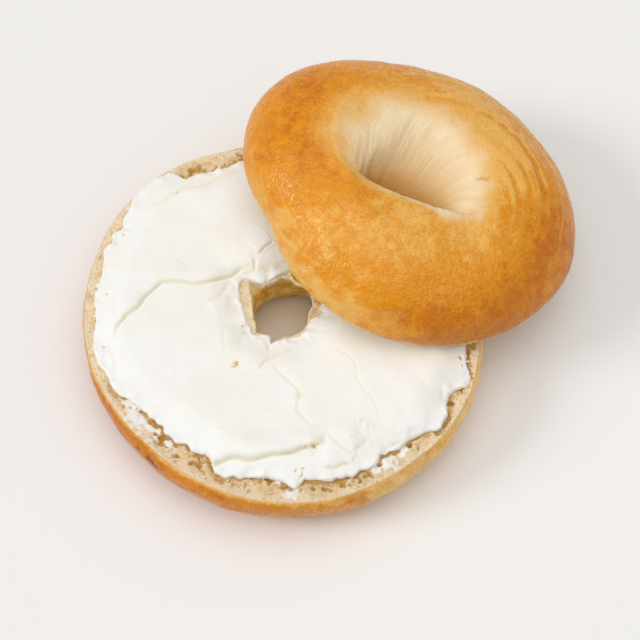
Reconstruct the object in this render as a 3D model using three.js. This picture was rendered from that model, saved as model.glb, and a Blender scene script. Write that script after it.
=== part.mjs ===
// A plain bagel cut in two. The lower half lies flat with its cut face up and is spread with cream
// cheese. The upper half lies on the cheese, shifted to one side and tipped a little.
// Millimetres, +Z up. The base stands on z = 0.
import * as THREE from 'three';

// Lower half, centred on its own axis
const lowerRadius = 52; // mean radius of the cut edge
const lowerWaves = [[2, 0.017, -58], [3, 0.014, 51], [4, 0.011, -37], [5, 0.013, -18]];
const cutHeight = 16.5; // base to cut face
const lowerBelly = 1.0; // how far the crust stands out past the cut edge
const lowerBellyHeight = 12;
const footRound = 12; // how far the crust rounds in towards the base
const holeRadii = [7.6, 7.9, 8.6, 11.3, 10.3, 10.0, 8.4, 9.3, 8.6, 8.0, 6.9, 6.3]; // every 30 degrees
const holeFlare = 6.5; // how far the hole opens out at the base
const holeFlareHeight = 10;

// Cream cheese on the cut face
const cheeseGap = 0.3; // clearance between the cheese and the bread above and below it
const cheeseThickness = 2.9;
const edgeRound = 1.8; // width of the cheese's rounded edge
const outerMargins = [ // cut edge to cheese, every 15 degrees
  3.5, 3.2, 3.5, 4.0, 3.6, 3.2, 3.6, 4.2, 4.6, 0.9, 2.2, 2.0,
  2.7, 1.8, 2.2, 5.0, 3.7, 2.3, 4.4, 3.2, 3.2, 2.9, 2.4, 2.9,
];
const innerMargins = [1.4, 1.3, 0.4, 0.4, 0.4, 3.2, 3.3, 1.2, 0.4, 0.5, 0.4, 0.4]; // every 30 degrees
const steps = [ // knife steps in the cheese: [height, points along the step, higher on the left]
  { height: 0.9, points: [[-43, -11], [-41, -4], [-33, 5], [-30, 6.5], [-19, 7], [-9, 11]] },
  { height: 0.7, points: [[-39, 28], [-31, 32.5], [-23, 36.5], [-13, 43.5]] },
  { height: 1.1, points: [[-21, -40], [-14, -43], [-1, -42], [9, -39]] },
];
const stepWidth = 1.4; // how wide the slope of a step is
const stepReach = 9; // how far behind a step the cheese stays high

// Upper half, centred on its own axis with its cut face down at z = 0
const upperRadius = 42.9;
const upperWaves = [[2, 0.074, -35.5], [3, 0.023, 21.5], [4, 0.016, -30], [5, 0.006, -5.5]];
const upperDent = { at: 197.5, depth: 1.7, spread: 13.3 }; // a shallow dent in the side, degrees
const upperHeight = 17.3; // cut face to crown
const crownLean = 0.065; // how much higher the crown is on its high side
const crownHighSide = 228; // degrees
const upperBelly = 0.8;
const upperBellyHeight = 3;
const crownAt = 0.5; // the crown's place between the axis and the outside
const domeFullness = 1.8; // 2 is an ellipse, more is squarer
const dimpleTurn = -20; // the way the slit-like dimple runs, degrees
// The dimple from the crown down: share of the height, shift along it, line between its two sides,
// reach of the near side, its roundness (1 round, 0.5 blunt), reach of the far side, half the length
const dimpleLevels = [
  [0.975, -0.5, -2.5, 12.5, 0.85, 18.3, 18.8],
  [0.93, -0.8, -4.6, 7.2, 0.7, 18.2, 16.4],
  [0.86, -1.0, -6.2, 3.4, 0.6, 16.4, 13.8],
  [0.72, -1.8, -7.2, 2.0, 0.6, 14.0, 11.4],
  [0.5, -2.8, -7.8, 1.8, 0.6, 11.0, 9.2],
  [0.22, -3.2, -7.4, 2.4, 0.7, 6.8, 7.6],
  [0, -3.2, -6.0, 3.8, 0.8, 4.4, 6.6],
];
const upperPlace = [31.4, 29.7, 22.0]; // centre of its cut face from the lower half's centre
const upperTilt = 9; // degrees, lower on the +X side

const turnSteps = 76;
const cheeseTurnSteps = 90;

const radians = THREE.MathUtils.degToRad;
const smooth = (t) => THREE.MathUtils.smoothstep(t, 0, 1);

// Radius at an angle of a round outline with a few slow waves, each [count, share, peak in degrees].
function wavyRadius(angle, radius, waves) {
  let share = 1;
  for (const [count, size, peak] of waves) {
    share += size * Math.cos(count * (angle - radians(peak)));
  }
  return radius * share;
}

// A smooth closed run through values given at even steps round the circle.
function roundTable(values, angle) {
  const place = (((angle / (2 * Math.PI)) % 1) + 1) % 1 * values.length;
  const i = Math.floor(place);
  const t = place - i;
  const at = (k) => values[(i + k + values.length) % values.length];
  const slopeIn = (at(1) - at(-1)) / 2;
  const slopeOut = (at(2) - at(0)) / 2;
  const rise = at(1) - at(0);
  return at(0) + slopeIn * t + (3 * rise - 2 * slopeIn - slopeOut) * t ** 2
    + (slopeIn + slopeOut - 2 * rise) * t ** 3;
}

// A quarter of a superellipse as [across, up] pairs, from [1, 0] to [0, 1].
function quarterRound(fullness, count) {
  const points = [];
  for (let i = 0; i <= count; i += 1) {
    const angle = (i / count) * (Math.PI / 2);
    const across = Math.max(Math.cos(angle), 0) ** (2 / fullness);
    const up = Math.sin(angle) ** (2 / fullness);
    points.push([across, up]);
  }
  return points;
}

// A closed ring: sectionAt gives the loop of points at each angle, all with the same count,
// running anticlockwise as seen with the axis on the left.
function ringGeometry(sectionAt, count) {
  const positions = [];
  const indices = [];
  let loop = 0;
  for (let i = 0; i < count; i += 1) {
    const points = sectionAt((i / count) * 2 * Math.PI);
    loop = points.length;
    positions.push(...points.flat());
  }
  for (let i = 0; i < count; i += 1) {
    const next = (i + 1) % count;
    for (let j = 0; j < loop; j += 1) {
      const up = (j + 1) % loop;
      const a = i * loop + j;
      const b = next * loop + j;
      const c = next * loop + up;
      const d = i * loop + up;
      indices.push(a, b, c, a, c, d);
    }
  }
  const geometry = new THREE.BufferGeometry();
  geometry.setAttribute('position', new THREE.Float32BufferAttribute(positions, 3));
  geometry.setIndex(indices);
  geometry.computeVertexNormals();
  return geometry;
}

const lowerEdge = (angle) => wavyRadius(angle, lowerRadius, lowerWaves);
const holeEdge = (angle) => roundTable(holeRadii, angle);

// A point at a radius from the lower half's axis.
function fromAxis(angle, radius, height) {
  return [radius * Math.cos(angle), radius * Math.sin(angle), height];
}

function lowerSection(angle) {
  const edge = lowerEdge(angle);
  const hole = holeEdge(angle);
  const points = [];
  for (const [across, up] of quarterRound(2.2, 4)) { // hole wall, base to its narrowest
    const radius = hole + holeFlare * (1 - up);
    points.push(fromAxis(angle, radius, holeFlareHeight * (1 - across)));
  }
  points.push(fromAxis(angle, hole, cutHeight));
  points.push(fromAxis(angle, (edge + hole) / 2, cutHeight));
  points.push(fromAxis(angle, edge, cutHeight));
  points.push(fromAxis(angle, edge + 0.8 * lowerBelly, (cutHeight + lowerBellyHeight) / 2));
  for (const [across, up] of quarterRound(2.2, 6)) { // crust, belly to base
    const radius = edge + lowerBelly - footRound * (1 - across);
    points.push(fromAxis(angle, radius, lowerBellyHeight * (1 - up)));
  }
  return points.reverse();
}

// Height that the knife steps add at a point of the cheese.
function stepRelief(x, y) {
  let relief = 0;
  for (const { height, points } of steps) {
    let nearest = Infinity;
    let side = 0;
    for (let i = 0; i + 1 < points.length; i += 1) {
      const [ax, ay] = points[i];
      const dx = points[i + 1][0] - ax;
      const dy = points[i + 1][1] - ay;
      const along = ((x - ax) * dx + (y - ay) * dy) / (dx * dx + dy * dy);
      const t = THREE.MathUtils.clamp(along, 0, 1);
      const distance = Math.hypot(x - ax - t * dx, y - ay - t * dy);
      if (distance < nearest) {
        nearest = distance;
        side = Math.sign((y - ay) * dx - (x - ax) * dy);
      }
    }
    const rise = smooth(0.5 + (side * nearest) / stepWidth);
    relief += height * rise * (1 - smooth(nearest / stepReach));
  }
  return relief;
}

// Height of the upper half's cut face over a point.
function upperCutHeight(x) {
  return upperPlace[2] - Math.tan(radians(upperTilt)) * (x - upperPlace[0]);
}

function cheeseSection(angle) {
  const floor = cutHeight + cheeseGap;
  const inner = holeEdge(angle) + roundTable(innerMargins, angle);
  const outer = lowerEdge(angle) - roundTable(outerMargins, angle);
  const points = [];
  const top = (radius, rise) => {
    const point = fromAxis(angle, radius, floor);
    const [x, y] = point;
    const full = cheeseThickness + stepRelief(x, y);
    const under = upperCutHeight(x) - cheeseGap - floor;
    point[2] = floor + rise * Math.min(full, under);
    return point;
  };
  points.push(fromAxis(angle, outer - 0.5, floor));
  for (const [across, up] of quarterRound(2, 3)) {
    points.push(top(outer - edgeRound * (1 - across), 0.15 + 0.85 * up));
  }
  const spans = 8;
  for (let i = 1; i < spans; i += 1) {
    const radius = THREE.MathUtils.lerp(outer - edgeRound, inner + edgeRound, i / spans);
    points.push(top(radius, 1));
  }
  for (const [across, up] of quarterRound(2, 2).reverse()) {
    points.push(top(inner + edgeRound * (1 - across), 0.15 + 0.85 * up));
  }
  points.push(fromAxis(angle, inner + 0.5, floor));
  return points;
}

// A point of the dimple's wall: blunt along the near side and round along the far side.
function dimplePoint(turned, [, shift, middle, near, roundness, far, length]) {
  const along = Math.cos(turned);
  const across = Math.sin(turned);
  const reach = across < 0 ? -near * (-across) ** roundness : far * across;
  const point = new THREE.Vector2(shift + length * along, middle + reach);
  return point.rotateAround(new THREE.Vector2(), radians(dimpleTurn));
}

// Outer radius of the upper half at an angle.
function upperEdge(angle) {
  const turned = THREE.MathUtils.euclideanModulo(angle - radians(upperDent.at) + Math.PI, 2 * Math.PI);
  const away = (turned - Math.PI) / radians(upperDent.spread);
  const dent = upperDent.depth * Math.exp(-(away ** 2));
  return wavyRadius(angle, upperRadius, upperWaves) - dent;
}

function upperSection(angle) {
  const edge = upperEdge(angle);
  const crown = crownAt * edge;
  const height = upperHeight * (1 + crownLean * Math.cos(angle - radians(crownHighSide)));
  const x = Math.cos(angle);
  const y = Math.sin(angle);
  const points = [];
  points.push([(edge - upperBelly) * x, (edge - upperBelly) * y, 0]);
  for (const [across, up] of quarterRound(domeFullness, 9)) { // crust, belly to crown
    const radius = crown + (edge - crown) * across;
    const z = upperBellyHeight + (height - upperBellyHeight) * up;
    points.push([radius * x, radius * y, z]);
  }
  for (const level of dimpleLevels) {
    const place = dimplePoint(angle - radians(dimpleTurn), level);
    points.push([place.x, place.y, height * level[0]]);
  }
  return points;
}

function crustMaterial() {
  return new THREE.MeshStandardMaterial({ color: 0xd8913f, roughness: 0.45, metalness: 0 });
}

function crumbMaterial() {
  return new THREE.MeshStandardMaterial({ color: 0xe3c08a, roughness: 0.85, metalness: 0 });
}

function cheeseMaterial() {
  return new THREE.MeshStandardMaterial({ color: 0xf4f1ea, roughness: 0.4, metalness: 0 });
}

function named(name, geometry, material) {
  const mesh = new THREE.Mesh(geometry, material);
  mesh.name = name;
  return mesh;
}

const bagel = new THREE.Group();
bagel.add(named('bottom_half', ringGeometry(lowerSection, turnSteps), crumbMaterial()));
bagel.add(named('cream_cheese', ringGeometry(cheeseSection, cheeseTurnSteps), cheeseMaterial()));

const topHalf = named('top_half', ringGeometry(upperSection, turnSteps), crustMaterial());
topHalf.position.set(...upperPlace);
topHalf.rotation.y = radians(upperTilt);
bagel.add(topHalf);

// The origin is under the middle of the whole, on the surface it stands on.
const box = new THREE.Box3().setFromObject(bagel, true);
bagel.position.set(-(box.min.x + box.max.x) / 2, -(box.min.y + box.max.y) / 2, -box.min.z);

export default bagel;
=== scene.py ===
import math
import bpy
import numpy as np
from mathutils import Matrix, Vector


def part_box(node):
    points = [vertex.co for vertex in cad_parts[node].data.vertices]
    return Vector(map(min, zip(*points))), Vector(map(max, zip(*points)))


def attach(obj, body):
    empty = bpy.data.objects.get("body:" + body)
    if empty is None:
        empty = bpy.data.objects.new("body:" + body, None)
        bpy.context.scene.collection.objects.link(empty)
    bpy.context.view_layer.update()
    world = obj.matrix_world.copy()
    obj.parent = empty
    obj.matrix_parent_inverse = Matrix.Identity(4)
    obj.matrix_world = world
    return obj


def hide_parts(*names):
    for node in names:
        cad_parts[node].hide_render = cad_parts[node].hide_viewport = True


# A plain bagel cut in two: the lower half lies with its cut face up and is spread with cream
# cheese, and the upper half lies on it, shifted and tipped. Shapes are worked out in millimetres
# from the lower half's own axis, then moved to the frame and turned into metres.

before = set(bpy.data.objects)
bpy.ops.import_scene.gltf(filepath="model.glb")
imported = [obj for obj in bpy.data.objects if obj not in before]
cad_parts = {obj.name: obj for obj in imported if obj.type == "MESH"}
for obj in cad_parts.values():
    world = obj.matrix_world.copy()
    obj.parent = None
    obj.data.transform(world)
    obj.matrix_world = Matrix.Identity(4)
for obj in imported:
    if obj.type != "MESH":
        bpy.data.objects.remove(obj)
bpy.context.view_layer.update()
millimetre = 0.001
fullTurn = 2 * math.pi


def smooth(value):
    value = np.clip(value, 0, 1)
    return value * value * (3 - 2 * value)


def hashed(cells, seed):
    # a repeatable number from 0 to 1 for each cell of a grid
    mixed = cells[..., 0] * 73856093 ^ cells[..., 1] * 19349663 ^ cells[..., 2] * 83492791
    mixed = (mixed + seed * 374761393) & 0xffffffff
    mixed = ((mixed ^ mixed >> 15) * 2246822519) & 0xffffffff
    mixed = ((mixed ^ mixed >> 13) * 3266489917) & 0xffffffff
    return (mixed ^ mixed >> 16) / 0xffffffff


def lumps(points, size, seed):
    # smooth random lumps about one size across, roughly from -1 to 1
    grid = points / size
    cell = np.floor(grid).astype(np.int64)
    part = grid - cell
    ease = smooth(part)
    total = np.zeros(points.shape[:-1])
    for corner in np.ndindex(2, 2, 2):
        weight = np.prod(np.where(corner, ease, 1 - ease), axis=-1)
        for axis in range(3):
            slope = 2 * hashed(cell + corner, seed * 3 + axis) - 1
            total += weight * slope * (part[..., axis] - corner[axis])
    return 2.2 * total


def lumpSum(points, layers, base=0.0):
    # lumps of several sizes on top of each other, each layer (height, size, seed)
    total = base
    for height, size, seed in layers:
        total = total + height * lumps(points, size, seed)
    return total


def wavyRadius(angles, radius, waves):
    # a round outline with a few slow waves, each (count, share, peak in degrees)
    share = np.ones_like(angles)
    for count, size, peak in waves:
        share = share + size * np.cos(count * (angles - math.radians(peak)))
    return radius * share


def curveBetween(before, here, after, later, t):
    # a smooth curve from here to after, led by what lies on either side
    return 0.5 * (2 * here + (after - before) * t + (2 * before - 5 * here + 4 * after - later) * t ** 2
                  + (3 * here - before - 3 * after + later) * t ** 3)


def roundTable(values, angles):
    # a smooth closed run through values given at even steps round the circle
    values = np.array(values, dtype=float)
    place = np.mod(angles / fullTurn, 1) * len(values)
    index = np.floor(place).astype(int)
    four = [values[(index + step) % len(values)] for step in (-1, 0, 1, 2)]
    return curveBetween(*four, place - np.floor(place))


def roundRun(pairs, angles):
    # values at chosen azimuths in degrees, joined round the circle
    azimuths, values = np.array(sorted(pairs)).T
    return np.interp(np.degrees(angles), azimuths, values, period=360)


def bump(angles, at, spread):
    # 1 at an azimuth in degrees, falling to 0 on either side
    away = np.mod(np.degrees(angles) - at + 180, 360) - 180
    return np.exp(-(away / spread) ** 2)


def quarterRound(fullness, shares):
    # a quarter of a superellipse as across and up, for shares from 0 to 1 of its turn
    turned = np.asarray(shares) * math.pi / 2
    across = np.maximum(np.cos(turned), 0) ** (2 / fullness)
    up = np.maximum(np.sin(turned), 0) ** (2 / fullness)
    return across, up


def smoothLine(points, steps=6):
    # a curve through the points, as many short segments
    points = np.array(points, dtype=float)
    padded = np.vstack([2 * points[0] - points[1], points, 2 * points[-1] - points[-2]])
    run = []
    for i in range(1, len(points)):
        for t in np.arange(steps) / steps:
            run.append(curveBetween(*padded[i - 1:i + 3], t))
    run.append(points[-1])
    return np.array(run)


def besideLine(x, y, points):
    # distance to a line, positive on its left, and the share of the way along it
    line = smoothLine(points)
    nearest = np.full(x.shape, np.inf)
    side = np.ones(x.shape)
    share = np.zeros(x.shape)
    count = len(line) - 1
    for i in range(count):
        ax, ay = line[i]
        dx, dy = line[i + 1] - line[i]
        t = np.clip(((x - ax) * dx + (y - ay) * dy) / (dx * dx + dy * dy), 0, 1)
        distance = np.hypot(x - ax - t * dx, y - ay - t * dy)
        closer = distance < nearest
        nearest = np.where(closer, distance, nearest)
        side = np.where(closer, np.sign((y - ay) * dx - (x - ax) * dy), side)
        share = np.where(closer, (i + t) / count, share)
    return np.where(side == 0, 1, side) * nearest, share


def nearLine(x, y, points, reach):
    # which points lie near a line, their distance from it and their share of the way along it
    low = np.min(points, axis=0) - reach
    high = np.max(points, axis=0) + reach
    near = (x > low[0]) & (x < high[0]) & (y > low[1]) & (y < high[1])
    return near, *besideLine(x[near], y[near], points)


def tapered(share, ends=0.18):
    return smooth(share / ends) * smooth((1 - share) / ends)


def outward(rows):
    # the surface's outward direction at each point of a ring of loops
    around = np.roll(rows, -1, axis=0) - np.roll(rows, 1, axis=0)
    along = np.roll(rows, -1, axis=1) - np.roll(rows, 1, axis=1)
    normal = np.cross(around, along)
    return normal / np.maximum(np.linalg.norm(normal, axis=-1, keepdims=True), 1e-9)


def loopAt(angles, radii, heights):
    # points at radii and heights, each shaped (turns, loop), round an upright axis
    x = radii * np.cos(angles)[:, None]
    y = radii * np.sin(angles)[:, None]
    return np.stack([x, y, np.broadcast_to(heights, x.shape)], axis=-1)


def loopPart(rows, first, last):
    # 1 for the points of each loop from first up to last, 0 for the others
    loop = np.arange(rows.shape[1])
    return np.broadcast_to((loop >= first) & (loop < last), rows.shape[:2]).astype(float)


def ringMesh(name, rows, masks):
    # a closed ring from its loops, shaped (turns, loop, 3) in millimetres, with vertex masks
    turns, loop = rows.shape[:2]
    index = np.arange(turns * loop).reshape(turns, loop)
    ahead = np.roll(index, -1, axis=0)
    corners = [index, ahead, np.roll(ahead, -1, axis=1), np.roll(index, -1, axis=1)]
    return meshPiece(name, rows.reshape(-1, 3), np.stack(corners, axis=-1).reshape(-1, 4).tolist(), masks)


def meshPiece(name, points, faces, masks):
    mesh = bpy.data.meshes.new(name)
    mesh.from_pydata((points * millimetre).tolist(), [], faces)
    mesh.polygons.foreach_set("use_smooth", np.ones(len(mesh.polygons), dtype=bool))
    for label, values in masks.items():
        layer = mesh.attributes.new(label, "FLOAT", "POINT")
        layer.data.foreach_set("value", np.asarray(values, dtype=np.float32).ravel())
    mesh.update()
    piece = bpy.data.objects.new(name, mesh)
    bpy.context.scene.collection.objects.link(piece)
    return piece


def screenColour(red, green, blue):
    # a colour as seen on a screen, 0 to 255, as the linear values that shaders take
    share = np.array([red, green, blue]) / 255
    linear = np.where(share < 0.04045, share / 12.92, ((share + 0.055) / 1.055) ** 2.4)
    return (*[float(value) for value in linear], 1.0)


def feed(tree, value, socket):
    if isinstance(value, bpy.types.NodeSocket):
        tree.links.new(value, socket)
    else:
        socket.default_value = value


def addNode(tree, kind, inputs=(), **settings):
    made = tree.nodes.new(kind)
    for name, value in settings.items():
        setattr(made, name, value)
    for name, value in dict(inputs).items():
        feed(tree, value, made.inputs[name])
    return made


def mixColour(tree, factor, first, second, blend="MIX"):
    made = addNode(tree, "ShaderNodeMix", {0: factor, 6: first, 7: second}, data_type="RGBA")
    made.blend_type = blend
    return made.outputs[2]


def combine(tree, operation, first, second):
    return addNode(tree, "ShaderNodeMath", {0: first, 1: second}, operation=operation).outputs[0]


def ranged(tree, value, low, high, toLow=0.0, toHigh=1.0):
    inputs = {"Value": value, "From Min": low, "From Max": high, "To Min": toLow, "To Max": toHigh}
    made = addNode(tree, "ShaderNodeMapRange", inputs, interpolation_type="SMOOTHSTEP")
    return made.outputs["Result"]


def mask(tree, name, share=1.0):
    # one of the piece's vertex masks, or a share of it
    value = addNode(tree, "ShaderNodeAttribute", attribute_name=name).outputs["Fac"]
    return value if share == 1 else combine(tree, "MULTIPLY", value, share)


def layered(tree, colour, layers):
    # colours laid over each other where their masks say, each layer (mask, share, colour)
    for name, share, over in layers:
        colour = mixColour(tree, mask(tree, name, share), colour, over)
    return colour


def placeOn(tree):
    return addNode(tree, "ShaderNodeTexCoord").outputs["Object"]


def noise(tree, place, size, detail=2.0, roughness=0.5, distortion=0.0):
    # cloudy noise whose patches are about one size across, in millimetres
    inputs = {"Vector": place, "Scale": 1000 / size, "Detail": detail, "Roughness": roughness,
              "Distortion": distortion}
    return addNode(tree, "ShaderNodeTexNoise", inputs).outputs["Fac"]


def newGroup(name, inputs, outputs):
    tree = bpy.data.node_groups.new(name, "ShaderNodeTree")
    for label, kind, value in inputs:
        socket = tree.interface.new_socket(name=label, in_out="INPUT", socket_type=kind)
        socket.default_value = value
    for label, kind in outputs:
        tree.interface.new_socket(name=label, in_out="OUTPUT", socket_type=kind)
    start = addNode(tree, "NodeGroupInput").outputs
    end = addNode(tree, "NodeGroupOutput").inputs
    return tree, start, end


def useGroup(tree, group, inputs):
    made = addNode(tree, "ShaderNodeGroup", node_tree=group)
    for name, value in inputs.items():
        feed(tree, value, made.inputs[name])
    return made.outputs


def newMaterial(name):
    material = bpy.data.materials.new(name)
    material.use_nodes = True
    return material, material.node_tree, material.node_tree.nodes["Principled BSDF"]


def bumped(tree, height, depth, shader):
    # depth in millimetres for the height's whole range
    inputs = {"Height": height, "Distance": depth * millimetre, "Strength": 1.0}
    feed(tree, addNode(tree, "ShaderNodeBump", inputs).outputs["Normal"], shader.inputs["Normal"])


def crustGroup():
    # baked skin: cloudy browning, freckles and fine blisters, with pale flecks painted in as glints
    colour, number = "NodeSocketColor", "NodeSocketFloat"
    tree, start, end = newGroup("bakedSkin", [
        ("Light", colour, (1, 1, 1, 1)), ("Middle", colour, (1, 1, 1, 1)), ("Deep", colour, (1, 1, 1, 1)),
        ("Browning", number, 0.5), ("Cloud Size", number, 14.0), ("Contrast", number, 1.0),
    ], [("Color", colour), ("Height", number), ("Roughness", number)])
    place = placeOn(tree)
    cloudScale = combine(tree, "DIVIDE", 1000.0, start["Cloud Size"])
    clouds = addNode(tree, "ShaderNodeTexNoise", {
        "Vector": place, "Scale": cloudScale, "Detail": 3.0, "Roughness": 0.55, "Distortion": 0.4})
    mottle = noise(tree, place, 3.2, detail=3.0, roughness=0.6)
    grain = noise(tree, place, 0.8, detail=2.0, roughness=0.6)
    uneven = combine(tree, "ADD", clouds.outputs["Fac"], combine(tree, "MULTIPLY", mottle, 1.3))
    uneven = combine(tree, "ADD", uneven, combine(tree, "MULTIPLY", grain, 0.35))
    uneven = combine(tree, "MULTIPLY", combine(tree, "SUBTRACT", uneven, 1.32), start["Contrast"])
    tone = combine(tree, "ADD", uneven, start["Browning"])
    lower = mixColour(tree, ranged(tree, tone, 0.0, 0.5), start["Light"], start["Middle"])
    baked = mixColour(tree, ranged(tree, tone, 0.5, 1.0), lower, start["Deep"])
    fine = noise(tree, place, 0.55, detail=2.0, roughness=0.7)
    speckled = mixColour(tree, 1.0, baked, ranged(tree, fine, 0.3, 0.7, 0.96, 1.05), "MULTIPLY")
    # pale flecks mixed into the colour: painted glints, standing in for small highlights on the blisters
    paintedGlints = ranged(tree, noise(tree, place, 0.9, detail=3.0, roughness=0.7), 0.45, 0.7, 0.0, 0.08)
    feed(tree, mixColour(tree, paintedGlints, speckled, screenColour(255, 216, 158)), end["Color"])
    blisters = noise(tree, place, 1.1, detail=1.0, roughness=0.5, distortion=0.8)
    broad = noise(tree, place, 3.4, detail=1.0, roughness=0.5)
    height = combine(tree, "ADD", blisters, combine(tree, "MULTIPLY", broad, 0.8))
    feed(tree, combine(tree, "SUBTRACT", height, 0.4), end["Height"])
    feed(tree, ranged(tree, mottle, 0.3, 0.7, 0.17, 0.30), end["Roughness"])
    return tree


def crumbGroup():
    # torn, open crumb: pale walls round darker pores, the pores' darkness painted shade
    colour, number = "NodeSocketColor", "NodeSocketFloat"
    tree, start, end = newGroup("openCrumb", [
        ("Light", colour, (1, 1, 1, 1)), ("Deep", colour, (1, 1, 1, 1)), ("Pore", colour, (1, 1, 1, 1)),
        ("Pore Size", number, 0.9), ("Open", number, 0.0),
    ], [("Color", colour), ("Height", number)])
    place = placeOn(tree)
    poreScale = combine(tree, "DIVIDE", 1000.0, start["Pore Size"])
    cavities = addNode(tree, "ShaderNodeTexNoise", {
        "Vector": place, "Scale": poreScale, "Detail": 3.0, "Roughness": 0.6, "Distortion": 0.6})
    # low places of the cavity pattern take the deep colour: painted shade in the pores, with patches of the
    # crumb's own uneven tone
    walls = ranged(tree, cavities.outputs["Fac"], 0.34, 0.56)
    patches = ranged(tree, noise(tree, place, 3.5, detail=3.0, roughness=0.6), 0.36, 0.6)
    shade = combine(tree, "ADD", combine(tree, "MULTIPLY", walls, 0.45),
                    combine(tree, "MULTIPLY", patches, 0.55))
    walled = mixColour(tree, shade, start["Deep"], start["Light"])
    # fine open pores, more of them where the crumb is torn, painted darker as the shade in them
    fine = noise(tree, place, 0.6, detail=2.0, roughness=0.6, distortion=0.5)
    opened = combine(tree, "ADD", fine, combine(tree, "MULTIPLY", start["Open"], 0.16))
    feed(tree, mixColour(tree, ranged(tree, opened, 0.6, 0.7), walled, start["Pore"]), end["Color"])
    feed(tree, cavities.outputs["Fac"], end["Height"])
    return tree


bakedSkin = crustGroup()
openCrumb = crumbGroup()


def crustNodes(tree, finish, browning):
    return useGroup(tree, bakedSkin, {
        "Light": finish["light"], "Middle": finish["middle"], "Deep": finish["deep"], "Browning": browning,
        "Cloud Size": finish["cloudSize"], "Contrast": finish["contrast"]})


def dressBread(tree, shader, finish, crust, crumb, outside, inside):
    # colours and roughness of the crust outside and of the crumb inside; returns the relief of both
    onCrumb = mask(tree, "crumb")
    feed(tree, mixColour(tree, onCrumb, outside, inside), shader.inputs["Base Color"])
    rougher = mask(tree, "crumb", finish["crumbRougher"])
    feed(tree, combine(tree, "ADD", crust["Roughness"], rougher), shader.inputs["Roughness"])
    shader.inputs["Specular IOR Level"].default_value = finish["gloss"]
    height = addNode(tree, "ShaderNodeMix", {0: onCrumb, 2: crust["Height"], 3: crumb["Height"]})
    return height.outputs[0]


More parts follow.
